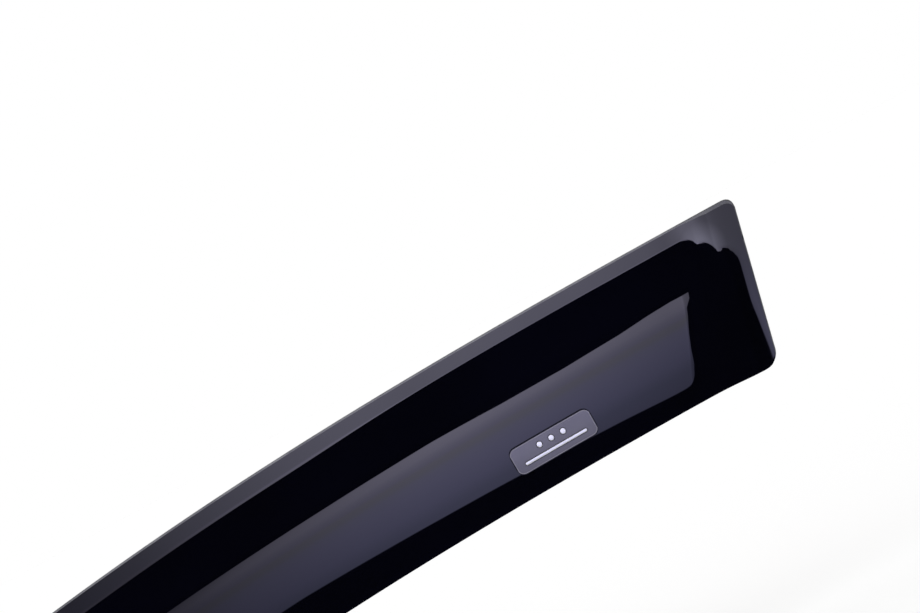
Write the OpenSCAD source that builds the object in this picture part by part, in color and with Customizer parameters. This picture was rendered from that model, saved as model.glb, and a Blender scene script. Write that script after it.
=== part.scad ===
// Stick-on rain deflector for the side window of a left front door.
// X runs along the window towards the rear, Z is up and the outer face looks along -Y.
// The plane Y = 0 is the face of the release liners, which meets the door frame.

/* [Outline] */
// Length along the top edge, from the rear corner to the front tip
length = 900; // [800:5:1000]
// Width from the top edge down to the lower edge
width = 97.5; // [90:0.5:108]
// Radius of the top edge at the rear end, where it is almost straight
rear_bend = 17000; // [10000:500:30000]
// Radius of the top edge at the front tip, where it follows the pillar
front_bend = 1030; // [900:10:1600]
// Lean of the rear end towards the front, in degrees
end_lean = 12.8; // [6:0.1:16]
// Rounding of the rear end's top corner
top_corner_r = 7; // [5:0.5:9]
// Rounding of the rear end's lower corner
low_corner_r = 8; // [5:0.5:10]
// Dip of the lower edge beside the rear end
corner_dip = 2.8; // [0.4:0.1:4]
// Length of the lower edge that climbs to the front tip
nose_taper = 330; // [260:5:400]
// Width of the front tip
nose_width = 34; // [31:0.5:42]
// Rounding of the front tip above
nose_top_r = 14; // [8:0.5:15]
// Rounding of the front tip below
nose_low_r = 16; // [8:0.5:16]

/* [Section] */
// Thickness of the acrylic
wall = 2.6; // [2:0.1:3.2]
// Height of the crown's inner face over the flange
rise = 18.5; // [13:0.5:23]
// Fall from the crown to the lower edge
lip_fall = 6.7; // [3:0.1:10]
// Distance from the crown's highest line down to the lower edge
crown_up = 42; // [34:1:48]
// Width of the slope from the top flange to the crown
top_slope = 36; // [30:1:46]
// Sharpness of the bend beside the top flange near the rear end: 0 is soft
bend_crease = 0.9; // [0:0.1:1.2]
// Width of the slope from the rear land to the crown, at the top edge
end_slope_top = 25; // [20:1:34]
// Width of that slope at the lower edge
end_slope_low = 49; // [40:1:54]
// Flat land at the front tip
nose_land = 16; // [10:1:24]
// Length of the slope behind the front tip
nose_slope = 190; // [140:5:240]
// Chamfer around the outer face
edge_chamfer = 0.5; // [0.3:0.1:0.8]
// Thickness of the rear end's edge
end_edge = 1.9; // [1.4:0.1:1.9]
// Width of the flat outer strip along the rear end
end_strip = 5.2; // [4:0.2:8]
// Width of that strip at the lower edge
strip_low = 0.5; // [0.4:0.1:2]
// Length over which it narrows to the lower edge
strip_taper = 38; // [30:1:44]
// Flare of that strip under the folds
strip_flare = 8; // [4:0.5:9]
// Distance from the rear end to the upper fold of the top corner
fold_at = 28.2; // [25:0.1:30]
// Pitch of the two folds
fold_pitch = 10; // [9:0.1:12]
// How far the upper fold steps down
fold_step = 6.3; // [4:0.1:7]
// How far the lower fold steps down
low_fold_step = 8.3; // [6:0.1:9]

/* [Tape] */
// Width of the foam tape along the top edge
top_tape_w = 9; // [7:0.5:12]
// Width of the foam tape along the rear end
end_tape_w = 11.5; // [8:0.5:13]
// Thickness of the foam
foam_t = 1.1; // [0.8:0.1:1.5]
// Thickness of the release liner
liner_t = 0.15; // [0.1:0.05:0.3]
// Margin from the edge of the acrylic to the tape
tape_inset = 0.4; // [0.2:0.1:1]
// Bare land between a tape and the slope beside it
land_margin = 0.2; // [0:0.1:1]
// Gap at the joint between the two tapes
tape_joint = 0.4; // [0.2:0.1:1]
// Distance from the front tip to the cut end of the top tape
tape_end_gap = 7; // [5:0.5:12]

/* [Badge] */
// Distance from the rear corner to the middle of the badge
badge_at = 164; // [120:0.5:220]
// Distance from the top edge to the middle of the badge
badge_down = 74.5; // [70:0.5:78]
// Length of the badge
badge_w = 55; // [44:0.5:64]
// Height of the badge
badge_h = 17; // [14:0.5:20]
// Rounding of the badge's corners
badge_r = 4.7; // [3:0.1:6]
// Thickness of the badge plate
plate_t = 1; // [0.6:0.1:1.5]
// Thickness of the adhesive pad under the plate
pad_t = 0.4; // [0.2:0.1:0.8]
// Margin from the plate's edge to the pad
pad_inset = 0.6; // [0.3:0.1:1.5]
// Height of the raised ornament
ornament_t = 0.7; // [0.4:0.1:1]
// Length of the ornament's bar
bar_w = 42; // [30:0.5:42]
// Width of the ornament's bar
bar_h = 1.8; // [1.2:0.1:2.4]
// Diameter of the ornament's studs
stud_d = 3.4; // [2.4:0.1:4]
// Distance between the studs
stud_pitch = 8; // [5:0.5:10]
// Distance of the bar and of the studs from the badge's middle line
ornament_off = 3; // [2.6:0.1:3.6]
// Clearance between curved faces that are stuck together
seat_gap = 0.05; // [0.03:0.01:0.1]

/* [Hidden] */

tape_t = foam_t + liner_t;
top_land = tape_inset + top_tape_w + land_margin;
end_land = tape_inset + end_tape_w + land_margin;
// The sheared rows of the rear end turn square to the top edge over this length
square_over = 300;
// The lower edge's dip starts and fades over these lengths
dip_from = 32;
dip_fade = 45;
// The sharp bend beside the flange starts to soften here, and is soft after this length
crease_from = 190;
crease_fade = 110;
// The folds fade out down the slope, from this depth and over this depth
fold_from = 30;
fold_fade = 45;
// The share of a quarter arc that a fold takes, measured along the part
fold_round = 0.88;
// The strip's flare fades out over this length under the folds
fold_low = top_land + fold_step + low_fold_step;
flare_fade = 12;
// The outer face reaches its full thickness at the lower fold, this far down the top slope, and
// along the flange this far beyond that fold. The power shapes the rise from the end's strip.
feather_past = max(2, fold_at - fold_pitch - end_land);
feather_down = 3;
feather_along = 120;
feather_power = 1.5;
// Half of the distances over which a slope is measured: along the part, where it evens out the
// folds, and down the part
probe_along = 1.5;
probe_down = 0.05;

// Spacing of the rows along the part: even over the folds, then growing, and short at the tip
fold_rows = 10;
row_short = fold_pitch/cos(end_lean)/fold_rows;
row_long = 22;
row_nose = 4.5;
rear_growth = 0.09;
nose_growth = 0.09;
corner_rows = 5;
// Lines across the part: before and in the bend beside the flange, and on to the lower edge
bend_before = 0.8;
bend_w = 13;
bend_lines = 5;
bend_grading = 1.6;
body_lines = 13;
body_grading = 1.3;

// The badge's pieces: longest facets along and across them, steps in a rounded corner,
// chamfers, and how far a round end stays under half its width
patch_long = 4.5;
patch_wide = 4.2;
patch_steps = 4;
pad_chamfer = 0.05;
plate_chamfer = 0.3;
ornament_chamfer = 0.2;
round_margin = 0.01;

// A rise from 0 to 1 that starts with a bend, sharp or soft, and ends with a long, soft one
function ease(t, crease = 0) =
    t <= 0 ? 0 : t >= 1 ? 1 : 1 - pow(1 - t, 3)*(1 + (3 - crease)*t);

// A straight rise from 0 to 1
function fade(t) = max(0, min(1, t));

// How far a rounded corner of radius r cuts in, at distance x from the end
function round_in(x, r) = x >= r ? 0 : r - sqrt(r*r - (r - x)*(r - x));

// The top edge: its drop and its angle at u along it from the rear corner
bend_rate = (1/front_bend - 1/rear_bend)/length;
function edge_drop(u) = u*u/(2*rear_bend) + u*u*u*bend_rate/6;
function edge_angle(u) = atan(u/rear_bend + u*u*bend_rate/2);

// X and Z of the spot at u along the top edge and v down from it
function spot(u, v) =
    let (a = edge_angle(u))
    [-u + v*sin(a), -edge_drop(u) - v*cos(a)];

// Row s leans with the rear end, and rows further on stand square to the top edge
function row_u(s, v) = s + v*tan(end_lean)*(1 - ease(s/square_over));

// Distance from the top edge to the lower edge
function lower(u) =
    let (climb = max(0, 1 - (length - u)/nose_taper))
    width + corner_dip*(1 - ease((u - dip_from)/dip_fade)) - (width - nose_width)*climb*climb;

// Distance from the line of the rear end
function from_end(u, v) =
    let (p = spot(u, v))
    -p.x*cos(end_lean) + p.y*sin(end_lean);

// An arc that falls from 0 to 1, and stops short of upright
function fold_arc(t) =
    let (part = fold_round*fade(t))
    (1 - sqrt(1 - part*part))/(1 - sqrt(1 - fold_round*fold_round));

// The folds shift the start of the top slope down, by one arc after the other
function fold_shift(d) =
    let (k = 1 + (fold_at - d)/fold_pitch)
    fold_step*(k < 1 ? fold_arc(k) : 1) + low_fold_step*(k < 1 ? 0 : k < 2 ? fold_arc(k - 1) : 1);

// Height of the inner face over the flange
function height(u, v) =
    let (
        d = from_end(u, v),
        folded = fold_shift(d)*(1 - fade((v - fold_from)/fold_fade)),
        from_crown = (v - lower(u) + crown_up)/crown_up,
        crease = bend_crease*(1 - fade((u - crease_from)/crease_fade)),
        end_slope = end_slope_top + (end_slope_low - end_slope_top)*v/width
    )
    (rise - lip_fall*from_crown*from_crown)
        * ease((v - top_land - folded)/top_slope, crease)
        * ease((d - end_land)/end_slope)
        * ease((length - u - nose_land)/nose_slope);

// The rear end is thinner at its edge: its outer face has a flat strip and then a shallow slope,
// and along the flange it thickens slowly
function strip_width(v) =
    let (
        flare = 1 - fade((v - fold_low)/flare_fade),
        narrow = fade((v - width + strip_taper)/strip_taper)
    )
    min(end_land, end_strip - (end_strip - strip_low)*narrow + strip_flare*flare*flare);
function thickness(u, v) =
    let (
        d = from_end(u, v),
        past = d - end_land - feather_past,
        slope = 1 + min(0, past/(end_land + feather_past - strip_width(v))),
        sunk = fade((v - top_land - fold_shift(d))/feather_down)
    )
    wall - (wall - end_edge)*(1 - max(pow(fade(slope), feather_power)*sunk, fade(past/feather_along)));

// A point of the inner face, the direction out of it, and a point at a distance over it
function inner(u, v) =
    let (p = spot(u, v))
    [p.x, -tape_t - height(u, v), p.y];
function outward(u, v) =
    let (
        along = inner(u + probe_along, v) - inner(u - probe_along, v),
        down = inner(u, v + probe_down) - inner(u, v - probe_down),
        n = cross(along, down)
    )
    n/norm(n);
function over(u, v, off) = inner(u, v) + off*outward(u, v);

// Rows along the part, with the rounded corners of both ends in steps of equal angle
rear_r = max(top_corner_r, low_corner_r);
nose_r = max(nose_top_r, nose_low_r);
function corner_steps(r) =
    let (first = acos(1 - edge_chamfer/r))
    [for (k = [0:corner_rows - 1]) r*(1 - cos(first + (90 - first)*k/corner_rows))];
fold_end = (fold_at + fold_pitch)/cos(end_lean);
function row_step(s) =
    min(row_long, row_short + (s - fold_end)*rear_growth, row_nose + (length - nose_r - s)*nose_growth);
raw_rows = [for (s = fold_end; s < length - nose_r - row_nose/2; s = s + row_step(s)) s];
raw_end = raw_rows[len(raw_rows) - 1] + row_step(raw_rows[len(raw_rows) - 1]);
rows = concat(
    [0], corner_steps(rear_r), [rear_r],
    [for (k = [floor((fold_end - rear_r)/row_short - 1/2):-1:1]) fold_end - k*row_short],
    [for (s = raw_rows) fold_end + (s - fold_end)*(length - nose_r - fold_end)/(raw_end - fold_end)],
    [length - nose_r],
    [for (k = [corner_rows - 1:-1:0]) length - corner_steps(nose_r)[k]], [length]
);

// Lines across a row of width w, where the slope starts at depth "bend"
function lines(w, bend) =
    let (
        from = bend + bend_w,
        to = w - edge_chamfer
    )
    concat(
        [0, edge_chamfer, bend/2, bend - bend_before, bend],
        [for (k = [1:bend_lines]) bend + bend_w*pow(k/bend_lines, bend_grading)],
        [for (k = [1:body_lines]) from + (to - from)*pow(k/body_lines, body_grading)],
        [w]
    );

// Where a row starts and ends, with both ends' corners rounded
function row_top(s) = round_in(s, top_corner_r) + round_in(length - s, nose_top_r);
function row_low(s, w) = w - round_in(s, low_corner_r) - round_in(length - s, nose_low_r);

// The u and v of each grid point in row s
function row_spots(s) =
    let (
        w = lower(row_u(s, width)),
        top = row_top(s),
        span = (row_low(s, w) - top)/w,
        bend = top_land + fold_shift(s*cos(end_lean))
    )
    [for (v = lines(w, bend)) [row_u(s, top + v*span), top + v*span]];

// A closed sheet between two grids of points, the back one and the front one
module sheet(back, front) {
    n = len(back);
    m = len(back[0]);
    half = n*m;
    function pair(a, b, c, d) = [[a, b, c], [a, c, d]];
    function at(i, j) = i*m + j;
    polyhedron(
        points = concat([for (row = back) each row], [for (row = front) each row]),
        faces = concat(
            [for (i = [0:n - 2], j = [0:m - 2])
                each pair(half + at(i, j), half + at(i, j + 1), half + at(i + 1, j + 1), half + at(i + 1, j))],
            [for (i = [0:n - 2], j = [0:m - 2])
                each pair(at(i, j), at(i + 1, j), at(i + 1, j + 1), at(i, j + 1))],
            [for (i = [0:n - 2])
                each pair(half + at(i, 0), half + at(i + 1, 0), at(i + 1, 0), at(i, 0))],
            [for (i = [0:n - 2])
                each pair(half + at(i + 1, m - 1), half + at(i, m - 1), at(i, m - 1), at(i + 1, m - 1))],
            [for (j = [0:m - 2])
                each pair(half + at(0, j + 1), half + at(0, j), at(0, j), at(0, j + 1))],
            [for (j = [0:m - 2])
                each pair(half + at(n - 1, j), half + at(n - 1, j + 1), at(n - 1, j + 1), at(n - 1, j))]
        )
    );
}

// The origin is on the liner's face, at the middle of the top tape
datum = spot(length/2, tape_inset + top_tape_w/2);
module on_datum() {
    translate([-datum.x, 0, -datum.y]) children();
}

// A flat strip of the plan, from depth "from" behind the liner's face and "thick" thick
module strip(points, from, thick) {
    translate([0, -from, 0]) rotate([90, 0, 0]) linear_extrude(thick) polygon(points);
}

// The plan of the top tape: it follows the top edge and is cut square short of the front tip
function top_tape_plan() =
    let (
        last = length - tape_end_gap,
        at = concat(
            [tape_inset],
            [for (s = rows) if (s > tape_inset + edge_chamfer && s < last - edge_chamfer) s],
            [last]
        ),
        low = tape_inset + top_tape_w
    )
    concat(
        [for (s = at)
            let (v = tape_inset + round_in(s - tape_inset, top_corner_r - tape_inset)
                + round_in(length - tape_inset - s, nose_top_r - tape_inset))
            spot(row_u(s, v), v)],
        [for (k = [len(at) - 1:-1:0]) spot(row_u(at[k], low), low)]
    );

// The plan of the end tape: it butts against the top tape and follows the lower corner
function end_tape_plan() =
    let (
        top = tape_inset + top_tape_w + tape_joint,
        inner_s = tape_inset + end_tape_w/cos(end_lean),
        r = low_corner_r - tape_inset,
        at = concat([for (a = [0:15:75]) tape_inset + r*(1 - cos(a))], [inner_s])
    )
    concat(
        [spot(row_u(inner_s, top), top), spot(row_u(tape_inset, top), top)],
        [for (s = at)
            let (v = lower(row_u(s, width)) - tape_inset - round_in(s - tape_inset, r))
            spot(row_u(s, v), v)]
    );

// A patch stuck over the outer face: its middle is at u and v from the badge's middle,
// and it is w long, h high, rounded by r, "base" over the face and "thick" thick
module patch(u, v, w, h, r, base, thick, chamfer) {
    first = acos(1 - chamfer/r);
    angles = concat([0], [for (k = [0:patch_steps - 1]) first + (90 - first)*k/patch_steps]);
    ends = [for (a = angles) r*(1 - cos(a))];
    middle = max(1, ceil((w - 2*r)/patch_long));
    at = concat(
        [for (x = ends) x - w/2],
        w - 2*r > chamfer ? [for (k = [0:middle]) (w - 2*r)*(k/middle - 0.5)] : [0],
        [for (k = [len(ends) - 1:-1:0]) w/2 - ends[k]]
    );
    bands = max(2, ceil((h - 2*chamfer)/patch_wide));
    across = concat([-h/2], [for (k = [0:bands]) (h - 2*chamfer)*(k/bands - 0.5)], [h/2]);
    last = len(across) - 1;
    function point(i, j, off) =
        let (
            cut = round_in(w/2 - abs(at[i]), r),
            y = across[j]*(1 - 2*cut/h),
            bu = badge_at + u + at[i],
            bv = badge_down + v + y
        )
        over(bu, bv, wall + seat_gap + base + off);
    sheet(
        [for (i = [0:len(at) - 1]) [for (j = [0:last]) point(i, j, 0)]],
        [for (i = [0:len(at) - 1]) [for (j = [0:last])
            point(i, j, i == 0 || i == len(at) - 1 || j == 0 || j == last ? thick - chamfer : thick)]]
    );
}

// Smoked acrylic moulding
module visor_shell() {
    grid = [for (s = rows) row_spots(s)];
    n = len(grid) - 1;
    m = len(grid[0]) - 1;
    color("#15151b") on_datum() sheet(
        [for (row = grid) [for (p = row) over(p[0], p[1], 0)]],
        [for (i = [0:n]) [for (j = [0:m])
            let (
                p = grid[i][j],
                rim = i == 0 || i == n || j == 0 || j == m ? edge_chamfer : 0
            )
            over(p[0], p[1], thickness(p[0], p[1]) - rim)]]
    );
}

// Foam tape along the top edge
module top_foam_tape() {
    color("#2c2c30") on_datum() strip(top_tape_plan(), liner_t, foam_t);
}

// Foam tape along the rear end
module end_foam_tape() {
    color("#2c2c30") on_datum() strip(end_tape_plan(), liner_t, foam_t);
}

// Red film that covers the top tape until it is fitted
module top_release_liner() {
    color("#d21f2f") on_datum() strip(top_tape_plan(), 0, liner_t);
}

// Red film that covers the end tape until it is fitted
module end_release_liner() {
    color("#d21f2f") on_datum() strip(end_tape_plan(), 0, liner_t);
}

// Adhesive pad under the badge
module badge_adhesive() {
    color("#202024") on_datum() patch(
        0, 0, badge_w - 2*pad_inset, badge_h - 2*pad_inset, badge_r - pad_inset, 0, pad_t, pad_chamfer
    );
}

// Grey badge plate
module badge_plate() {
    color("#67646f") on_datum()
        patch(0, 0, badge_w, badge_h, badge_r, pad_t + seat_gap, plate_t, plate_chamfer);
}

// Bright raised ornament: a plain bar with three studs over it
module badge_ornament() {
    module rounded(u, v, w, h) {
        base = pad_t + plate_t + 2*seat_gap;
        patch(u, v, w, h, h/2 - round_margin, base, ornament_t, ornament_chamfer);
    }
    color("#dcdce2") on_datum() {
        rounded(0, ornament_off, bar_w, bar_h);
        for (k = [-1:1]) rounded(k*stud_pitch, -ornament_off, stud_d, stud_d);
    }
}

visor_shell();
top_foam_tape();
end_foam_tape();
top_release_liner();
end_release_liner();
badge_adhesive();
badge_plate();
badge_ornament();
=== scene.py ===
"""Looks of a stick-on rain deflector for a car's side window, dressed around its packed solids."""

import math

import bpy
from mathutils import Matrix, Vector


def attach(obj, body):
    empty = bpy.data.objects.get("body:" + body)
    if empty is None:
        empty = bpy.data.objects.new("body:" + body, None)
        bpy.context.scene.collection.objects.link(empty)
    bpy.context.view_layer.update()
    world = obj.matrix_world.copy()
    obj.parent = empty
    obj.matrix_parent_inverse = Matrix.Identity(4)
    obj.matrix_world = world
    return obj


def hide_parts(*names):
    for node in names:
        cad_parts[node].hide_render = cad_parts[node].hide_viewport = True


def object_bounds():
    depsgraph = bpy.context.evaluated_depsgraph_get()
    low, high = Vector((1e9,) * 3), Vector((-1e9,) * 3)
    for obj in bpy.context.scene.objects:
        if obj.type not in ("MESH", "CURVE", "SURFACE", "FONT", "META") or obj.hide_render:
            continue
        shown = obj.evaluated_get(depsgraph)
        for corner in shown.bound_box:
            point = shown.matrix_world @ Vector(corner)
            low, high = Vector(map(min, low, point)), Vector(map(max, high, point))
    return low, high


bl_info = {
    "name": "Window Rain Deflector",
    "version": (1, 0, 0),
    "blender": (4, 5, 0),
    "location": "3D View > Sidebar > Deflector",
    "description": "Smoked acrylic moulding, tapes, red liners, badge and studio of a window rain deflector",
    "category": "Object",
}

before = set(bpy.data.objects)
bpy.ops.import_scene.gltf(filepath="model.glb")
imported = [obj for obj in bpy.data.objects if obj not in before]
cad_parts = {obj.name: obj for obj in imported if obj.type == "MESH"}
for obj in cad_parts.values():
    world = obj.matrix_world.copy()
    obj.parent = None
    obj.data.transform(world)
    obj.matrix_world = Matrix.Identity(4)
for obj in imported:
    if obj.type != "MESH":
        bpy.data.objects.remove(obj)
cad_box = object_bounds()

BODY = "root"
MM = 0.001
# Corners of the CAD's triangles closer than this are one corner
WELD = 0.002 * MM

# Two triangles pair into a four-sided face where they lie flatter than the first angle,
# and never across an edge that is sharper than the second, which is a corner of the moulding
PAIR_ANGLE = math.radians(60)
CORNER_ANGLE = math.radians(38)

# The rim starts this close to the plane of the lands. By their normals, its faces have a Y below the first
# share and a Z above the second, and the chamfer's have a Y between the two below
# These rim and chamfer faces, along the top and the rear end, get a painted highlight
RIM_REACH = 0.05 * MM
RIM_ACROSS, RIM_DOWN = 0.3, -0.4
CHAMFER_FACING = -0.9, -0.3

# A flat strip's faces lie within the first angle of one plane, and its cut edges are sharper than the second
FLAT_ANGLE = math.radians(1)
CUT_ANGLE = math.radians(50)

# The badge's face and its chamfers meet at a wider angle than this
CHAMFER_ANGLE = math.radians(30)

# Shading breaks at edges sharper than these, on the moulding and on the smaller pieces
SHADE_ANGLE = math.radians(60)
SMALL_SHADE_ANGLE = math.radians(40)

# The studio's cards, each from corner to corner in metres; only reflections show them
FLAG_ROOM = Vector((-3.0, -2.6, -1.6)), Vector((3.0, 2.6, 2.6))
FLAG_COLOUR = (0.002, 0.002, 0.008)
SOFTBOX_FRONT = Vector((-1.6, -1.2, -0.9)), Vector((0.8, -1.2, 0.95))
SOFTBOX_BACK = Vector((0.2, 1.3, -0.8)), Vector((2.2, 1.3, -0.2))
SOFTBOX_BACK_COLOUR = (0.80, 0.82, 1.0)
SOFTBOX_BACK_POWER = 1.6

# The front softbox in metres: its colour by height, its fade by X, its top and its depth below zero by X,
# and its right side by height
SOFTBOX_POWER = 4.0
SOFTBOX_EDGE = 0.012
SOFTBOX_TONES = (
    (-0.80, (0.22, 0.22, 0.37)), (-0.52, (0.265, 0.27, 0.45)), (-0.37, (0.345, 0.34, 0.575)),
    (-0.17, (0.415, 0.405, 0.66)), (-0.07, (0.445, 0.435, 0.665)), (-0.02, (0.46, 0.45, 0.60)),
    (0.02, (0.48, 0.465, 0.61)), (0.06, (0.50, 0.48, 0.70)), (0.22, (0.665, 0.635, 0.875)),
    (0.40, (0.72, 0.685, 0.92)),
)
SOFTBOX_FADE = (
    (-1.6, 0.6), (-0.9, 0.6), (-0.55, 0.3), (-0.35, 0.12), (-0.2, 0.16), (-0.13, 0.25), (-0.06, 0.40),
    (0.0, 0.53), (0.06, 0.68), (0.10, 0.78), (0.16, 0.90), (0.225, 0.96), (0.29, 0.94), (0.36, 0.86),
    (0.45, 0.72), (0.505, 0.74), (0.522, 0.82), (0.542, 0.60), (0.57, 0.54), (0.62, 0.50), (0.8, 0.46),
)
SOFTBOX_TOP = (
    (-1.6, 0.58), (0.06, 0.56), (0.16, 0.55), (0.25, 0.42), (0.33, 0.40), (0.40, 0.49), (0.44, 0.64),
    (0.48, 0.70), (0.6, 0.66), (0.77, 0.60), (0.8, 0.58),
)
SOFTBOX_BOTTOM = (
    (-1.6, 0.50), (0.03, 0.53), (0.25, 0.628), (0.38, 0.695), (0.43, 0.73), (0.50, 0.745), (0.55, 0.735),
    (0.60, 0.69), (0.8, 0.60),
)
SOFTBOX_RIGHT = (
    (-0.9, 0.55), (-0.69, 0.60), (-0.55, 0.625), (-0.36, 0.58), (-0.19, 0.57), (-0.09, 0.58), (0.0, 0.60),
    (0.14, 0.60), (0.30, 0.77), (0.95, 0.78),
)

# The lands' painted sheen, a clear coat that brightens the mirrored softbox on them: their plane by Y, the
# coat by X, and a painted glint at a spot beside the folds
LAND_PLANE = -0.0046, -0.0039
LAND_PAINTED_SHEEN = (
    (0.0, 0.20), (0.147, 0.20), (0.187, 0.17), (0.227, 0.085), (0.267, 0.13), (0.307, 0.15), (0.342, 0.21),
    (0.367, 0.235), (0.387, 0.20), (0.401, 0.11), (0.4075, 0.18), (0.4135, 0.31), (0.4215, 0.34),
    (0.4275, 0.10), (0.4345, 0.0), (0.4475, 0.0),
)
LAND_PAINTED_GLINT = (0.4205, -0.0038, 0.0085)
LAND_PAINTED_GLINT_REACH = 0.004, 0.014
LAND_PAINTED_GLINT_COAT = 0.45

# Where the rim's painted highlight fades towards the rear end by X
RIM_HIGHLIGHT_FADE = 0.405, 0.435

# The floor in metres and its glow, the daylight's spread, and the camera's sensor in millimetres and its
# nearest and farthest distance in metres
FLOOR_SIZE = 60.0
FLOOR_COLOUR = (0.93, 0.93, 0.93, 1.0)
FLOOR_GLOW = 0.10
SUN_SPREAD = math.radians(35)
SENSOR_WIDTH = 36.0
CLIP = 0.05, 100.0


# Selecting and copying


def alone(piece):
    """Selects one object and nothing else."""
    if bpy.context.object and bpy.context.object.mode != "OBJECT":
        bpy.ops.object.mode_set(mode="OBJECT")
    bpy.ops.object.select_all(action="DESELECT")
    piece.select_set(True)
    bpy.context.view_layer.objects.active = piece


def edit(piece, mode="VERT"):
    """Opens one object in edit mode with nothing of it selected."""
    alone(piece)
    bpy.ops.object.mode_set(mode="EDIT")
    bpy.ops.mesh.select_mode(type=mode)
    bpy.ops.mesh.select_all(action="DESELECT")


def close_edit():
    """Leaves edit mode."""
    bpy.ops.object.mode_set(mode="OBJECT")


def solid_copy(node, name):
    """A new piece on the faces of a CAD node, welded into one surface with its triangles paired."""
    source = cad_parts[node]
    piece = source.copy()
    piece.data = source.data.copy()
    piece.name = name
    piece.data.name = name
    piece.parent = None
    for key in list(piece.keys()):
        del piece[key]
    bpy.context.scene.collection.objects.link(piece)
    piece.data.materials.clear()
    alone(piece)
    bpy.ops.mesh.customdata_custom_splitnormals_clear()
    edit(piece, "EDGE")
    bpy.ops.mesh.select_all(action="SELECT")
    bpy.ops.mesh.remove_doubles(threshold=WELD)
    bpy.ops.mesh.select_all(action="DESELECT")
    bpy.ops.mesh.edges_select_sharp(sharpness=CORNER_ANGLE)
    bpy.ops.mesh.mark_sharp()
    bpy.ops.mesh.select_all(action="SELECT")
    bpy.ops.mesh.tris_convert_to_quads(
        face_threshold=PAIR_ANGLE, shape_threshold=math.pi, topology_influence=1.2, sharp=True
    )
    bpy.ops.mesh.mark_sharp(clear=True)
    bpy.ops.mesh.normals_make_consistent(inside=False)
    close_edit()
    return piece


def apply_modifier(piece, kind, **settings):
    """Adds a modifier with these settings and applies it."""
    modifier = piece.modifiers.new(kind.title(), kind)
    for key, value in settings.items():
        setattr(modifier, key, value)
    alone(piece)
    bpy.ops.object.modifier_apply(modifier=modifier.name)


def round_edges(piece, angle, width, segments):
    """Bevels the edges of a piece that are sharper than an angle."""
    edit(piece, "EDGE")
    bpy.ops.mesh.edges_select_sharp(sharpness=angle)
    bpy.ops.mesh.bevel(offset=width, segments=segments, profile=0.6, clamp_overlap=True)
    close_edit()


def rim_highlight_faces(mesh):
    """The faces of a sheet's rim and of the chamfer beside it, along the top and the rear end, which take a
    painted highlight.
    """
    beside = {}
    for face in mesh.polygons:
        for key in face.edge_keys:
            beside.setdefault(key, []).append(face)
    land = max(corner.co.y for corner in mesh.vertices) - RIM_REACH
    rim = {
        face.index for face in mesh.polygons
        if abs(face.normal.y) < RIM_ACROSS and face.normal.z > RIM_DOWN
        and any(mesh.vertices[index].co.y > land for index in face.vertices)
    }
    chamfer = {
        face.index for pair in beside.values() if any(side.index in rim for side in pair)
        for face in pair if CHAMFER_FACING[0] < face.normal.y < CHAMFER_FACING[1]
    }
    return rim | chamfer


def smooth(piece, angle):
    """Shades a piece smooth, apart from edges that are sharper than an angle."""
    alone(piece)
    bpy.ops.object.shade_smooth_by_angle(angle=angle)


def fit_out(piece, slot, *nodes):
    """Puts a finished piece on the part in place of the CAD nodes that it stands for."""
    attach(piece, BODY)
    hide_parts(*nodes)


# Shader node groups for effects that several finishes share


def socket(group, name, kind, in_out, value=None):
    """Adds one named socket to a node group."""
    made = group.interface.new_socket(name=name, in_out=in_out, socket_type="NodeSocket" + kind)
    if value is not None:
        made.default_value = value


def link_all(tree, pairs):
    """Links each output to its input."""
    for source, target in pairs:
        tree.links.new(source, target)


def math_node(tree, operation, first, second, clamp=False):
    """A math node on two values or sockets; returns its output."""
    node = tree.nodes.new("ShaderNodeMath")
    node.operation = operation
    node.use_clamp = clamp
    for slot_index, value in enumerate((first, second)):
        if isinstance(value, (int, float)):
            node.inputs[slot_index].default_value = value
        else:
            tree.links.new(value, node.inputs[slot_index])
    return node.outputs[0]


def axes_of(tree, vector):
    """The X, Y and Z of a vector."""
    axes = tree.nodes.new("ShaderNodeSeparateXYZ")
    tree.links.new(vector, axes.inputs[0])
    return axes.outputs


def noise_node(tree, vector, scale, detail=3.0):
    """A noise texture on a vector; returns its value output."""
    node = tree.nodes.new("ShaderNodeTexNoise")
    node.inputs["Detail"].default_value = detail
    node.inputs["Roughness"].default_value = 0.55
    tree.links.new(vector, node.inputs["Vector"])
    if isinstance(scale, (int, float)):
        node.inputs["Scale"].default_value = scale
    else:
        tree.links.new(scale, node.inputs["Scale"])
    return node.outputs["Fac"]


def range_node(tree, value, low, high, to_low=0.0, to_high=1.0):
    """A clamped map range; returns its output. Any bound may be a number or a socket."""
    node = tree.nodes.new("ShaderNodeMapRange")
    tree.links.new(value, node.inputs["Value"])
    bounds = {"From Min": low, "From Max": high, "To Min": to_low, "To Max": to_high}
    for key, bound in bounds.items():
        if isinstance(bound, (int, float)):
            node.inputs[key].default_value = bound
        else:
            tree.links.new(bound, node.inputs[key])
    return node.outputs["Result"]


def ramp_node(tree, value, stops):
    """A ramp through stops of a position and a tone, each a number or a colour; returns its output."""
    low, high = stops[0][0], stops[-1][0]
    node = tree.nodes.new("ShaderNodeValToRGB")
    tree.links.new(range_node(tree, value, low, high), node.inputs["Fac"])
    ramp = node.color_ramp
    while len(ramp.elements) < len(stops):
        ramp.elements.new(0.5)
    for element, (position, tone) in zip(ramp.elements, stops):
        element.position = (position - low) / (high - low)
        element.color = (tone, tone, tone, 1.0) if isinstance(tone, float) else (*tone, 1.0)
    return node.outputs["Color"]


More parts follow.
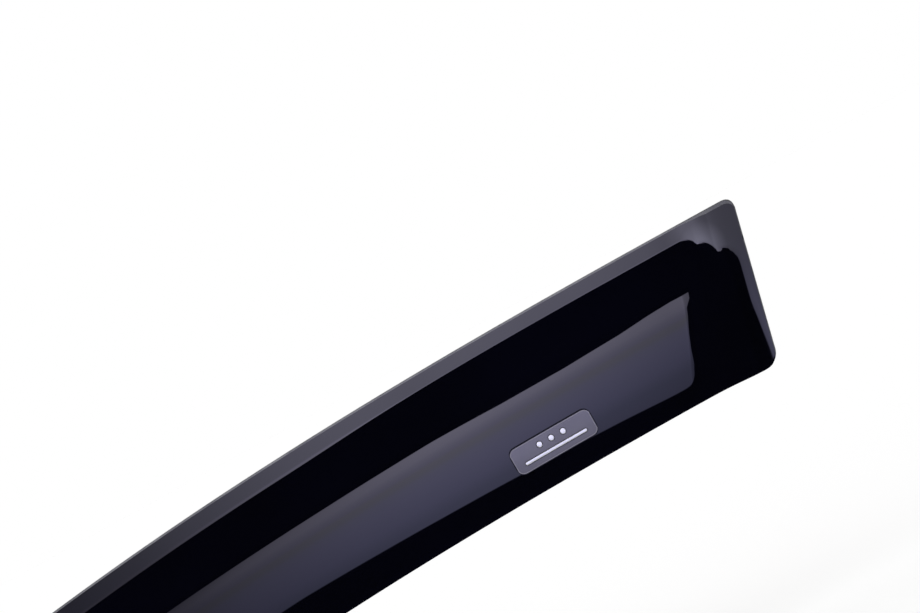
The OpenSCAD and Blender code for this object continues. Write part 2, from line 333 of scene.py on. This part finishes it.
def handling_group():
    """Fine scratches and faint smears on a handled glossy surface."""
    group = bpy.data.node_groups.new("handling_marks", "ShaderNodeTree")
    socket(group, "Vector", "Vector", "INPUT")
    socket(group, "Base Roughness", "Float", "INPUT", 0.04)
    socket(group, "Smear", "Float", "INPUT", 0.05)
    socket(group, "Scratch", "Float", "INPUT", 0.2)
    socket(group, "Roughness", "Float", "OUTPUT")
    socket(group, "Height", "Float", "OUTPUT")
    ends = group.nodes.new("NodeGroupInput"), group.nodes.new("NodeGroupOutput")
    given = ends[0].outputs

    blotch = noise_node(group, given["Vector"], scale=22.0, detail=4.0)
    blotch = range_node(group, blotch, low=0.45, high=0.75)
    smear = math_node(group, "MULTIPLY", blotch, given["Smear"])

    strokes = []
    for turn, squash in ((0.35, 46.0), (-0.6, 38.0)):
        mapping = group.nodes.new("ShaderNodeMapping")
        mapping.inputs["Rotation"].default_value = (0.0, turn, 0.0)
        mapping.inputs["Scale"].default_value = (squash, 1.0, 1500.0)
        group.links.new(given["Vector"], mapping.inputs["Vector"])
        stroke = noise_node(group, mapping.outputs[0], scale=1.0, detail=1.0)
        strokes.append(range_node(group, stroke, low=0.70, high=0.74))
    lines = math_node(group, "MAXIMUM", *strokes)
    few = noise_node(group, given["Vector"], scale=14.0, detail=2.0)
    few = range_node(group, few, low=0.5, high=0.66)
    scratch = math_node(group, "MULTIPLY", math_node(group, "MULTIPLY", lines, few), given["Scratch"])

    rough = math_node(group, "ADD", given["Base Roughness"], math_node(group, "ADD", smear, scratch))
    height = math_node(group, "MULTIPLY", scratch, -1.0)
    link_all(group, ((rough, ends[1].inputs["Roughness"]), (height, ends[1].inputs["Height"])))
    return group


def mottle_group():
    """A colour that drifts between two close tones in soft patches with a finer grain."""
    group = bpy.data.node_groups.new("tone_drift", "ShaderNodeTree")
    socket(group, "Vector", "Vector", "INPUT")
    socket(group, "Dark", "Color", "INPUT", (0.01, 0.01, 0.01, 1.0))
    socket(group, "Light", "Color", "INPUT", (0.02, 0.02, 0.02, 1.0))
    socket(group, "Patch Scale", "Float", "INPUT", 10.0)
    socket(group, "Grain", "Float", "INPUT", 0.2)
    socket(group, "Color", "Color", "OUTPUT")
    socket(group, "Mask", "Float", "OUTPUT")
    ends = group.nodes.new("NodeGroupInput"), group.nodes.new("NodeGroupOutput")
    given = ends[0].outputs
    patches = noise_node(group, given["Vector"], scale=given["Patch Scale"], detail=4.0)
    patches = range_node(group, patches, low=0.3, high=0.7)
    grain = noise_node(group, given["Vector"], scale=2600.0, detail=2.0)
    grain = math_node(group, "MULTIPLY", math_node(group, "SUBTRACT", grain, 0.5), given["Grain"])
    mask = math_node(group, "ADD", patches, grain, clamp=True)
    mix = group.nodes.new("ShaderNodeMix")
    mix.data_type = "RGBA"
    group.links.new(mask, mix.inputs["Factor"])
    group.links.new(given["Dark"], mix.inputs["A"])
    group.links.new(given["Light"], mix.inputs["B"])
    colour = next(s for s in mix.outputs if s.type == "RGBA")
    link_all(group, ((colour, ends[1].inputs["Color"]), (mask, ends[1].inputs["Mask"])))
    return group


def shared_group(name, maker):
    """The node group of this name, made once."""
    return bpy.data.node_groups.get(name) or maker()


# Finishes

FOAM_DARK, FOAM_LIGHT = (0.020, 0.020, 0.023), (0.055, 0.055, 0.06)
BRIGHT_DARK, BRIGHT_LIGHT = (0.80, 0.80, 0.84), (0.93, 0.93, 0.97)
PAD_DARK, PAD_LIGHT = (0.006, 0.006, 0.008), (0.016, 0.016, 0.02)


def new_finish(name):
    """A new material; returns it with its tree, its Principled shader and Object coordinates."""
    material = bpy.data.materials.new(name)
    material.use_nodes = True
    tree = material.node_tree
    shader = tree.nodes["Principled BSDF"]
    place = tree.nodes.new("ShaderNodeTexCoord")
    return material, tree, shader, place.outputs["Object"]


def add_group(tree, group, vector, **values):
    """Places a node group with its own values; underscores in a name stand for spaces."""
    node = tree.nodes.new("ShaderNodeGroup")
    node.node_tree = group
    tree.links.new(vector, node.inputs["Vector"])
    for key, value in values.items():
        node.inputs[key.replace("_", " ").title()].default_value = value
    return node


def paint(tree, shader, place, dark, light, patch_scale, grain):
    """Colours a finish between two close tones; returns the drift's node."""
    tone = add_group(
        tree, shared_group("tone_drift", mottle_group), place,
        dark=(*dark, 1.0), light=(*light, 1.0), patch_scale=patch_scale, grain=grain,
    )
    tree.links.new(tone.outputs["Color"], shader.inputs["Base Color"])
    return tone


def handle(tree, shader, place, base_roughness, smear, scratch):
    """Gives a finish its roughness with handling marks; returns the marks' height."""
    marks = add_group(
        tree, shared_group("handling_marks", handling_group), place,
        base_roughness=base_roughness, smear=smear, scratch=scratch,
    )
    tree.links.new(marks.outputs["Roughness"], shader.inputs["Roughness"])
    return marks.outputs["Height"]


def add_bump(tree, shader, height, distance, strength=1.0, under=None):
    """A bump node on a height, over another bump where one is given; returns its normal."""
    bump = tree.nodes.new("ShaderNodeBump")
    bump.inputs["Distance"].default_value = distance
    bump.inputs["Strength"].default_value = strength
    tree.links.new(height, bump.inputs["Height"])
    if under is not None:
        tree.links.new(under, bump.inputs["Normal"])
    tree.links.new(bump.outputs["Normal"], shader.inputs["Normal"])
    return bump.outputs["Normal"]


def smoked_acrylic(settings):
    """Polished smoke-tinted acrylic: near black, with a soft waviness, light marks and a painted sheen on
    the lands.
    """
    material, tree, shader, place = new_finish("smoked_acrylic")
    paint(tree, shader, place, settings.tint, settings.tint_blue, patch_scale=5.0, grain=0.1)
    marks = handle(tree, shader, place, settings.gloss_roughness, smear=0.025, scratch=0.05)
    axes = axes_of(tree, place)
    # Painted sheen: the lands' coat is set along X and raised round a spot beside the folds
    away = tree.nodes.new("ShaderNodeVectorMath")
    away.operation = "DISTANCE"
    tree.links.new(place, away.inputs[0])
    away.inputs[1].default_value = LAND_PAINTED_GLINT
    spot = range_node(tree, away.outputs["Value"], *LAND_PAINTED_GLINT_REACH, LAND_PAINTED_GLINT_COAT, 0.0)
    gloss = math_node(tree, "ADD", ramp_node(tree, axes["X"], LAND_PAINTED_SHEEN), spot)
    land = range_node(tree, axes["Y"], *LAND_PLANE)
    tree.links.new(math_node(tree, "MULTIPLY", land, gloss), shader.inputs["Coat Weight"])
    shader.inputs["Coat IOR"].default_value = settings.land_ior
    shader.inputs["Coat Roughness"].default_value = settings.gloss_roughness
    shader.inputs["IOR"].default_value = settings.ior
    waves = noise_node(tree, place, scale=16.0, detail=1.0)
    soft = add_bump(tree, shader, waves, settings.waviness)
    add_bump(tree, shader, marks, 0.02 * MM, under=soft)
    return material


def painted_rim_highlight(settings):
    """The moulding's rim, where the polish stops, with a painted highlight: a light grey colour for light
    caught on the edge, fading towards the rear end.
    """
    material, tree, shader, place = new_finish("painted_rim_highlight")
    tone = paint(tree, shader, place, settings.rim_highlight_dark, settings.rim_highlight_light, patch_scale=60.0, grain=0.6)
    # The painted highlight fades towards the rear end
    left = range_node(tree, axes_of(tree, place)["X"], *RIM_HIGHLIGHT_FADE, to_low=1.0, to_high=settings.rim_highlight_end)
    shade = tree.nodes.new("ShaderNodeVectorMath")
    shade.operation = "SCALE"
    rough = range_node(tree, tone.outputs["Mask"], 0.0, 1.0, to_low=0.22, to_high=0.38)
    link_all(tree, (
        (tone.outputs["Color"], shade.inputs[0]),
        (left, shade.inputs["Scale"]),
        (shade.outputs[0], shader.inputs["Base Color"]),
        (rough, shader.inputs["Roughness"]),
    ))
    shader.inputs["IOR"].default_value = settings.ior
    add_bump(tree, shader, noise_node(tree, place, scale=900.0, detail=3.0), 0.04 * MM)
    return material


def foam_finish():
    """Closed-cell foam: dark, matte, with fine cells."""
    material, tree, shader, place = new_finish("foam_tape")
    paint(tree, shader, place, FOAM_DARK, FOAM_LIGHT, patch_scale=120.0, grain=0.9)
    shader.inputs["Roughness"].default_value = 0.85
    cells = tree.nodes.new("ShaderNodeTexVoronoi")
    cells.inputs["Scale"].default_value = 2600.0
    tree.links.new(place, cells.inputs["Vector"])
    add_bump(tree, shader, cells.outputs["Distance"], 0.12 * MM, strength=0.8)
    return material


def liner_finish(settings):
    """Red release film: glossy, slightly wrinkled along its length."""
    material, tree, shader, place = new_finish("red_liner")
    paint(tree, shader, place, settings.liner_dark, settings.liner_light, patch_scale=26.0, grain=0.15)
    marks = handle(tree, shader, place, base_roughness=0.16, smear=0.10, scratch=0.2)
    shader.inputs["Coat Weight"].default_value = 0.5
    shader.inputs["Coat Roughness"].default_value = 0.08
    wrinkles = tree.nodes.new("ShaderNodeMapping")
    wrinkles.inputs["Scale"].default_value = (30.0, 1.0, 110.0)
    tree.links.new(place, wrinkles.inputs["Vector"])
    film = add_bump(tree, shader, noise_node(tree, wrinkles.outputs[0], scale=1.0), 0.6 * MM)
    add_bump(tree, shader, marks, 0.03 * MM, under=film)
    return material


def badge_finish(settings):
    """Smoke-grey plate with a fine grain under a clear coat."""
    material, tree, shader, place = new_finish("badge_grey")
    paint(tree, shader, place, settings.plate_dark, settings.plate_light, patch_scale=40.0, grain=0.35)
    marks = handle(tree, shader, place, base_roughness=0.22, smear=0.08, scratch=0.25)
    shader.inputs["Coat Weight"].default_value = 0.6
    shader.inputs["Coat Roughness"].default_value = 0.05
    add_bump(tree, shader, marks, 0.03 * MM)
    return material


def border_finish(name, colour):
    """A satin line of one colour on the badge: the dark border, the painted highlight line inside it and the
    painted shadow round the ornament.
    """
    material, tree, shader, place = new_finish(name)
    light = tuple(1.3 * channel for channel in colour)
    paint(tree, shader, place, colour, light, patch_scale=90.0, grain=0.3)
    shader.inputs["Roughness"].default_value = 0.3
    return material


def bright_finish():
    """Bright silver lacquer on the raised ornament."""
    material, tree, shader, place = new_finish("bright_trim")
    paint(tree, shader, place, BRIGHT_DARK, BRIGHT_LIGHT, patch_scale=260.0, grain=0.1)
    marks = handle(tree, shader, place, base_roughness=0.18, smear=0.08, scratch=0.15)
    shader.inputs["Metallic"].default_value = 0.35
    add_bump(tree, shader, marks, 0.02 * MM)
    return material


def pad_finish():
    """Matte black adhesive pad."""
    material, tree, shader, place = new_finish("badge_pad")
    paint(tree, shader, place, PAD_DARK, PAD_LIGHT, patch_scale=200.0, grain=0.6)
    shader.inputs["Roughness"].default_value = 0.7
    add_bump(tree, shader, noise_node(tree, place, scale=2200.0, detail=2.0), 0.05 * MM)
    return material


# Settings that a user would change


class DeflectorMoulding(bpy.types.PropertyGroup):
    """The acrylic moulding."""

    edge_round: bpy.props.FloatProperty(
        name="Edge Rounding", description="Width of the rounding on the moulding's edges",
        default=0.12 * MM, min=0.0, unit="LENGTH",
    )
    levels: bpy.props.IntProperty(
        name="Smoothing", description="Subdivision levels of the curved faces", default=2, min=0, max=2,
    )
    thinning: bpy.props.FloatProperty(
        name="Thinning", description="Share of the faces left, the flattest being merged", default=0.96,
        min=0.5, max=1.0,
    )
    tint: bpy.props.FloatVectorProperty(
        name="Tint", description="Colour of the smoked acrylic", subtype="COLOR",
        default=(0.0010, 0.0010, 0.0022), min=0.0, max=1.0,
    )
    tint_blue: bpy.props.FloatVectorProperty(
        name="Blue Tint", description="Colour of the acrylic's bluer patches", subtype="COLOR",
        default=(0.0016, 0.0016, 0.0050), min=0.0, max=1.0,
    )
    # Index of the coat that gives the lands their painted sheen
    land_ior: bpy.props.FloatProperty(
        name="Land Gloss", description="Refractive index of the lands' extra gloss",
        default=1.8, min=1.0, max=2.5,
    )
    # The rim's two tones and their fade are a painted highlight on the top and rear edges
    rim_highlight_dark: bpy.props.FloatVectorProperty(
        name="Rim Dark", description="Darker tone of the sawn rim", subtype="COLOR",
        default=(0.13, 0.13, 0.145), min=0.0, max=1.0,
    )
    rim_highlight_light: bpy.props.FloatVectorProperty(
        name="Rim Light", description="Lighter tone of the sawn rim", subtype="COLOR",
        default=(0.25, 0.25, 0.265), min=0.0, max=1.0,
    )
    rim_highlight_end: bpy.props.FloatProperty(
        name="Rim End", description="Share of the rim's tone left at the rear end",
        default=0.55, min=0.0, max=1.0,
    )
    gloss_roughness: bpy.props.FloatProperty(
        name="Gloss Roughness", description="Roughness of the polished faces",
        default=0.02, min=0.0, max=1.0,
    )
    ior: bpy.props.FloatProperty(
        name="IOR", description="Refractive index of acrylic", default=1.49, min=1.0, max=2.0,
    )
    waviness: bpy.props.FloatProperty(
        name="Waviness", description="Height of the faces' soft waves",
        default=0.05 * MM, min=0.0, unit="LENGTH",
    )


class DeflectorTapes(bpy.types.PropertyGroup):
    """The foam tapes and their red liners."""

    liner_dark: bpy.props.FloatVectorProperty(
        name="Deep Red", description="Darker tone of the release film", subtype="COLOR",
        default=(0.45, 0.008, 0.018), min=0.0, max=1.0,
    )
    liner_light: bpy.props.FloatVectorProperty(
        name="Bright Red", description="Lighter tone of the release film", subtype="COLOR",
        default=(0.66, 0.020, 0.045), min=0.0, max=1.0,
    )
    cut_round: bpy.props.FloatProperty(
        name="Cut Rounding", description="Rounding of the foam's cut edges",
        default=0.12 * MM, min=0.0, unit="LENGTH",
    )
    film_round: bpy.props.FloatProperty(
        name="Film Rounding", description="Rounding of the release film's cut edges",
        default=0.03 * MM, min=0.0, unit="LENGTH",
    )


class DeflectorBadge(bpy.types.PropertyGroup):
    """The badge."""

    plate_dark: bpy.props.FloatVectorProperty(
        name="Plate Dark", description="Darker tone of the badge plate", subtype="COLOR",
        default=(0.085, 0.080, 0.105), min=0.0, max=1.0,
    )
    plate_light: bpy.props.FloatVectorProperty(
        name="Plate Light", description="Lighter tone of the badge plate", subtype="COLOR",
        default=(0.115, 0.108, 0.135), min=0.0, max=1.0,
    )
    edge_round: bpy.props.FloatProperty(
        name="Edge Rounding", description="Rounding of the badge's edges",
        default=0.08 * MM, min=0.0, unit="LENGTH",
    )
    border: bpy.props.FloatVectorProperty(
        name="Border", description="Colour of the plate's outer border", subtype="COLOR",
        default=(0.006, 0.006, 0.012), min=0.0, max=1.0,
    )
    border_width: bpy.props.FloatProperty(
        name="Border Width", description="Width of the border on the plate's face",
        default=0.4 * MM, min=0.0, unit="LENGTH",
    )
    # The fine line is a painted highlight along the plate's edge
    line: bpy.props.FloatVectorProperty(
        name="Line", description="Colour of the fine line inside the border", subtype="COLOR",
        default=(0.24, 0.23, 0.28), min=0.0, max=1.0,
    )
    line_width: bpy.props.FloatProperty(
        name="Line Width", description="Width of that fine line",
        default=0.35 * MM, min=0.0, unit="LENGTH",
    )
    # The dark line round the ornament is a painted shadow
    painted_shadow_width: bpy.props.FloatProperty(
        name="Keyline Width", description="Width of the dark line round the ornament",
        default=0.4 * MM, min=0.0, unit="LENGTH",
    )
    painted_shadow_sunk: bpy.props.FloatProperty(
        name="Keyline Sunk", description="How far the dark line lies behind the ornament's face",
        default=0.7 * MM, min=0.0, unit="LENGTH",
    )


class DeflectorStage(bpy.types.PropertyGroup):
    """The studio."""

    aim: bpy.props.FloatVectorProperty(
        name="Aim", description="Point on the flange at the middle of the picture",
        default=(0.2771, -0.0038, 0.0453), subtype="TRANSLATION", unit="LENGTH",
    )
    distance: bpy.props.FloatProperty(
        name="Camera Distance", description="Distance from the camera to the flange",
        default=1.8, min=0.5, unit="LENGTH",
    )
    roll: bpy.props.FloatProperty(
        name="Roll", description="How far the part's length climbs to the right in the picture",
        default=math.radians(28.67), subtype="ANGLE",
    )
    frame_width: bpy.props.FloatProperty(
        name="Frame Width", description="Width of the picture at the flange",
        default=0.5428, min=0.1, unit="LENGTH",
    )
    floor_drop: bpy.props.FloatProperty(
        name="Floor Drop", description="Distance from the part's lowest point down to the floor",
        default=0.06, min=0.0, unit="LENGTH",
    )
    ambient: bpy.props.FloatProperty(
        name="Ambient", description="Strength of the white surroundings on matte surfaces",
        default=0.75, min=0.0,
    )
    sun: bpy.props.FloatProperty(
        name="Sun", description="Strength of the soft daylight", default=0.95, min=0.0,
    )
    sun_from: bpy.props.FloatVectorProperty(
        name="Sun From", description="Direction that the daylight comes from",
        default=(0.5, 0.5, 0.75), subtype="XYZ",
    )


# Pieces


class DEFLECTOR_OT_visor_shell(bpy.types.Operator):
    """Model the smoked acrylic moulding with smooth faces and rounded edges"""

    bl_idname = "deflector.visor_shell"
    bl_label = "Visor Shell"
    bl_options = {"REGISTER", "UNDO"}

    def execute(self, context):
        settings = context.scene.deflector_moulding
        shell = solid_copy("visor_shell", "acrylic_visor")
        shell.data.materials.append(smoked_acrylic(settings))
        shell.data.materials.append(painted_rim_highlight(settings))
        # The top and rear rims take the painted highlight
        for index in rim_highlight_faces(shell.data):
            shell.data.polygons[index].material_index = 1
        round_edges(shell, CORNER_ANGLE, settings.edge_round, 1)
        apply_modifier(
            shell, "SUBSURF", levels=settings.levels, render_levels=settings.levels, boundary_smooth="ALL"
        )
        apply_modifier(shell, "DECIMATE", ratio=settings.thinning)
        smooth(shell, SHADE_ANGLE)
        fit_out(shell, "smoked_acrylic", "visor_shell")
        return {"FINISHED"}


class DEFLECTOR_OT_tapes(bpy.types.Operator):
    """Finish the foam tapes and the red liners over them"""

    bl_idname = "deflector.tapes"
    bl_label = "Tapes and Liners"
    bl_options = {"REGISTER", "UNDO"}

    def execute(self, context):
        settings = context.scene.deflector_tapes
        foam = foam_finish()
        film = liner_finish(settings)
        for place in ("top", "end"):
            self.tape(f"{place}_foam_tape", f"{place}_foam", "foam_tape", foam, settings.cut_round)
            self.tape(f"{place}_release_liner", f"{place}_red_film", "red_liner", film, settings.film_round)
        return {"FINISHED"}

    def tape(self, node, name, slot, material, round_width):
        """A flat strip with softly rounded cut edges."""
        strip = solid_copy(node, name)
        edit(strip)
        bpy.ops.mesh.select_all(action="SELECT")
        bpy.ops.mesh.dissolve_limited(angle_limit=FLAT_ANGLE)
        close_edit()
        strip.data.materials.append(material)
        round_edges(strip, CUT_ANGLE, round_width, 2)
        smooth(strip, SMALL_SHADE_ANGLE)
        fit_out(strip, slot, node)


class DEFLECTOR_OT_badge(bpy.types.Operator):
    """Model the badge: its pad, its plate with a dark border, and its bright ornament"""

    bl_idname = "deflector.badge"
    bl_label = "Badge"
    bl_options = {"REGISTER", "UNDO"}

    def execute(self, context):
        settings = context.scene.deflector_badge
        self.plate(settings)
        self.painted_ornament_shadow(settings)
        self.ornament(settings)
        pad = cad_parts["badge_adhesive"]
        pad.data.materials.clear()
        pad.data.materials.append(pad_finish())
        return {"FINISHED"}

    def plate(self, settings):
        """The grey plate, with a dark border and a fine lighter line inset into its face, the lighter line a
        painted highlight along its edge.
        """
        plate = solid_copy("badge_plate", "grey_badge_plate")
        plate.data.materials.append(badge_finish(settings))
        plate.data.materials.append(border_finish("badge_border", settings.border))
        plate.data.materials.append(border_finish("badge_highlight_line", settings.line))
        facing = [face for face in plate.data.polygons if face.normal.y < 0]
        front = max(facing, key=lambda face: face.area).normal.copy()
        edit(plate, "FACE")
        close_edit()
        for face in plate.data.polygons:
            face.select = face.normal.angle(front) < CHAMFER_ANGLE
            face.material_index = 0 if face.select else 1
        bpy.ops.object.mode_set(mode="EDIT")
        # The first ring is the dark border, the second the painted highlight line
        for width, slot in ((settings.border_width, 1), (settings.line_width, 2)):
            bpy.ops.mesh.inset(thickness=width, use_even_offset=False)
            self.paint_ring(plate, slot)
        close_edit()
        smooth(plate, CHAMFER_ANGLE)
        fit_out(plate, "badge_grey", "badge_plate")

    def paint_ring(self, plate, slot):
        """Gives the ring that an inset has just made a material; the inner faces stay selected."""
        close_edit()
        inner = {face.index for face in plate.data.polygons if face.select}
        corners = {v for index in inner for v in plate.data.polygons[index].vertices}
        for face in plate.data.polygons:
            if face.index not in inner and face.material_index == 0 and corners & set(face.vertices):
                face.material_index = slot
        bpy.ops.object.mode_set(mode="EDIT")

    def ornament(self, settings):
        """The raised bar and studs, with softly rounded edges."""
        ornament = solid_copy("badge_ornament", "bright_ornament")
        ornament.data.materials.append(bright_finish())
        round_edges(ornament, CHAMFER_ANGLE, settings.edge_round, 2)
        smooth(ornament, SMALL_SHADE_ANGLE)
        fit_out(ornament, "bright_trim", "badge_ornament")

    def painted_ornament_shadow(self, settings):
        """A painted shadow round the ornament: a dark copy of the same shapes, wider and sunk into the
        plate.
        """
        line = solid_copy("badge_ornament", "ornament_painted_shadow")
        line.data.materials.append(border_finish("ornament_painted_shadow", settings.border))
        apply_modifier(line, "DISPLACE", strength=settings.painted_shadow_width, mid_level=0.0)
        edit(line)
        bpy.ops.mesh.select_all(action="SELECT")
        bpy.ops.transform.translate(value=(0.0, settings.painted_shadow_sunk, 0.0))
        close_edit()
        smooth(line, SMALL_SHADE_ANGLE)
        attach(line, BODY)


class DEFLECTOR_OT_stage(bpy.types.Operator):
    """Set up the pale floor, the white surroundings, the lamps and the camera"""

    bl_idname = "deflector.stage"
    bl_label = "Studio"
    bl_options = {"REGISTER", "UNDO"}

    def execute(self, context):
        settings = context.scene.deflector_stage
        self.floor(cad_box[0].z - settings.floor_drop)
        self.surroundings(context.scene, settings)
        self.flags()
        self.softboxes()
        self.sun(context.scene, settings)
        self.camera(context.scene, settings)
        context.scene.view_settings.view_transform = "Standard"
        return {"FINISHED"}

    def floor(self, level):
        """A pale floor that the camera sees as white where no shadow falls."""
        bpy.ops.mesh.primitive_plane_add(size=FLOOR_SIZE, location=(0.0, 0.0, level))
        floor = bpy.context.object
        floor.name = "floor"
        material, tree, shader, _ = new_finish("floor")
        shader.inputs["Base Color"].default_value = FLOOR_COLOUR
        shader.inputs["Roughness"].default_value = 1.0
        shader.inputs["Specular IOR Level"].default_value = 0.0
        shader.inputs["Emission Color"].default_value = (1.0, 1.0, 1.0, 1.0)
        path = tree.nodes.new("ShaderNodeLightPath")
        glow = math_node(tree, "MULTIPLY", path.outputs["Is Camera Ray"], FLOOR_GLOW)
        tree.links.new(glow, shader.inputs["Emission Strength"])
        floor.data.materials.append(material)
        floor.visible_glossy = False

    def surroundings(self, scene, settings):
        """White where they are seen, and dimmer as the light that falls on matte surfaces."""
        world = bpy.data.worlds.new("white_room")
        scene.world = world
        world.use_nodes = True
        tree = world.node_tree
        background = tree.nodes["Background"]
        background.inputs["Color"].default_value = (1.0, 1.0, 1.0, 1.0)
        path = tree.nodes.new("ShaderNodeLightPath")
        seen = math_node(tree, "MAXIMUM", path.outputs["Is Camera Ray"], path.outputs["Is Glossy Ray"])
        seen = math_node(tree, "MAXIMUM", seen, path.outputs["Is Transmission Ray"])
        strength = range_node(tree, seen, 0.0, 1.0, settings.ambient, 1.0)
        tree.links.new(strength, background.inputs["Strength"])

    def card(self, name, low, high, material):
        """A flat card between two corners that only shows in reflections."""
        size = high - low
        flat = min(range(3), key=lambda axis: abs(size[axis]))
        turns = (Vector((0.0, math.pi / 2, 0.0)), Vector((math.pi / 2, 0.0, 0.0)), Vector((0.0, 0.0, 0.0)))
        bpy.ops.mesh.primitive_plane_add(size=1.0, location=(low + high) / 2, rotation=turns[flat])
        card = bpy.context.object
        card.name = name
        card.scale = ((size.z, size.y, 1.0), (size.x, size.z, 1.0), (size.x, size.y, 1.0))[flat]
        bpy.ops.object.transform_apply(location=True, rotation=True, scale=True)
        card.data.materials.append(material)
        card.visible_camera = False
        card.visible_diffuse = False
        card.visible_shadow = False
        card.visible_transmission = False

    def glow(self, name, colour, strength=1.0):
        """A material that only glows; returns it with its tree and its emission shader."""
        material = bpy.data.materials.new(name)
        material.use_nodes = True
        tree = material.node_tree
        tree.nodes.remove(tree.nodes["Principled BSDF"])
        emission = tree.nodes.new("ShaderNodeEmission")
        emission.inputs["Color"].default_value = (*colour, 1.0)
        emission.inputs["Strength"].default_value = strength
        tree.links.new(emission.outputs[0], tree.nodes["Material Output"].inputs["Surface"])
        return material, tree, emission

    def flags(self):
        """Black flags on every side, as round any glossy black product."""
        material, _, _ = self.glow("black_flag", FLAG_COLOUR)
        low, high = FLAG_ROOM
        for axis, side in enumerate("xyz"):
            for end, corner in (("low", low), ("high", high)):
                first, second = low.copy(), high.copy()
                first[axis] = second[axis] = corner[axis]
                self.card(f"flag_{side}_{end}", first, second, material)

    def softboxes(self):
        """The lights that the polished faces mirror, one before and one behind."""
        front, tree, emission = self.glow("front_softbox", (1.0, 1.0, 1.0))
        axes = axes_of(tree, tree.nodes.new("ShaderNodeTexCoord").outputs["Object"])
        x, z = axes["X"], axes["Z"]
        tone = ramp_node(tree, z, SOFTBOX_TONES)
        across = ramp_node(tree, x, SOFTBOX_FADE)
        top = ramp_node(tree, x, SOFTBOX_TOP)
        bottom = ramp_node(tree, x, SOFTBOX_BOTTOM)
        right = ramp_node(tree, z, SOFTBOX_RIGHT)
        inside = (
            math_node(tree, "SUBTRACT", top, z),
            math_node(tree, "ADD", bottom, z),
            math_node(tree, "SUBTRACT", right, x),
        )
        power = math_node(tree, "MULTIPLY", across, SOFTBOX_POWER)
        for depth in inside:
            power = math_node(tree, "MULTIPLY", power, range_node(tree, depth, 0.0, SOFTBOX_EDGE))
        tree.links.new(tone, emission.inputs["Color"])
        tree.links.new(power, emission.inputs["Strength"])
        self.card("softbox_front", *SOFTBOX_FRONT, front)

        back, _, _ = self.glow("back_softbox", SOFTBOX_BACK_COLOUR, SOFTBOX_BACK_POWER)
        self.card("softbox_back", *SOFTBOX_BACK, back)

    def sun(self, scene, settings):
        """Soft daylight from behind and above, which reddens the liners and drops the shadow in front."""
        lamp = bpy.data.lights.new("soft_sun", "SUN")
        lamp.energy = settings.sun
        lamp.angle = SUN_SPREAD
        sun = bpy.data.objects.new("soft_sun", lamp)
        scene.collection.objects.link(sun)
        sun.rotation_euler = Vector(settings.sun_from).to_track_quat("Z", "Y").to_euler()
        sun.visible_glossy = False

    def camera(self, scene, settings):
        """Looks straight at the outer face, rolled so that the part climbs to the right."""
        lens = bpy.data.cameras.new("camera")
        camera = bpy.data.objects.new("camera", lens)
        scene.collection.objects.link(camera)
        scene.camera = camera
        lens.sensor_width = SENSOR_WIDTH
        lens.lens = lens.sensor_width * settings.distance / settings.frame_width
        lens.clip_start, lens.clip_end = CLIP
        cos, sin = math.cos(settings.roll), math.sin(settings.roll)
        right, up, back = Vector((cos, 0.0, -sin)), Vector((sin, 0.0, cos)), Vector((0.0, -1.0, 0.0))
        turn = Matrix((right, up, back)).transposed()
        place = Vector(settings.aim) + back * settings.distance
        camera.matrix_world = Matrix.Translation(place) @ turn.to_4x4()


class DEFLECTOR_PT_sidebar(bpy.types.Panel):
    """Sizes, colours and build steps of the deflector"""

    bl_idname = "DEFLECTOR_PT_sidebar"
    bl_label = "Rain Deflector"
    bl_space_type = "VIEW_3D"
    bl_region_type = "UI"
    bl_category = "Deflector"

    def draw(self, context):
        layout = self.layout
        for holder in GROUPS:
            box = layout.box()
            settings = getattr(context.scene, holder)
            box.label(text=settings.__doc__ or holder)
            for key in settings.__annotations__:
                box.prop(settings, key)
        for operator in OPERATORS:
            layout.operator(operator.bl_idname)


GROUPS = {
    "deflector_moulding": DeflectorMoulding,
    "deflector_tapes": DeflectorTapes,
    "deflector_badge": DeflectorBadge,
    "deflector_stage": DeflectorStage,
}
OPERATORS = (
    DEFLECTOR_OT_visor_shell,
    DEFLECTOR_OT_tapes,
    DEFLECTOR_OT_badge,
    DEFLECTOR_OT_stage,
)


def register():
    for group in GROUPS.values():
        bpy.utils.register_class(group)
    for holder, group in GROUPS.items():
        setattr(bpy.types.Scene, holder, bpy.props.PointerProperty(type=group))
    for operator in OPERATORS:
        bpy.utils.register_class(operator)
    bpy.utils.register_class(DEFLECTOR_PT_sidebar)


def unregister():
    bpy.utils.unregister_class(DEFLECTOR_PT_sidebar)
    for operator in reversed(OPERATORS):
        bpy.utils.unregister_class(operator)
    for holder in GROUPS:
        delattr(bpy.types.Scene, holder)
    for group in GROUPS.values():
        bpy.utils.unregister_class(group)


def main():
    register()
    bpy.ops.deflector.visor_shell()
    bpy.ops.deflector.tapes()
    bpy.ops.deflector.badge()
    bpy.ops.deflector.stage()


if __name__ == "__main__":
    main()
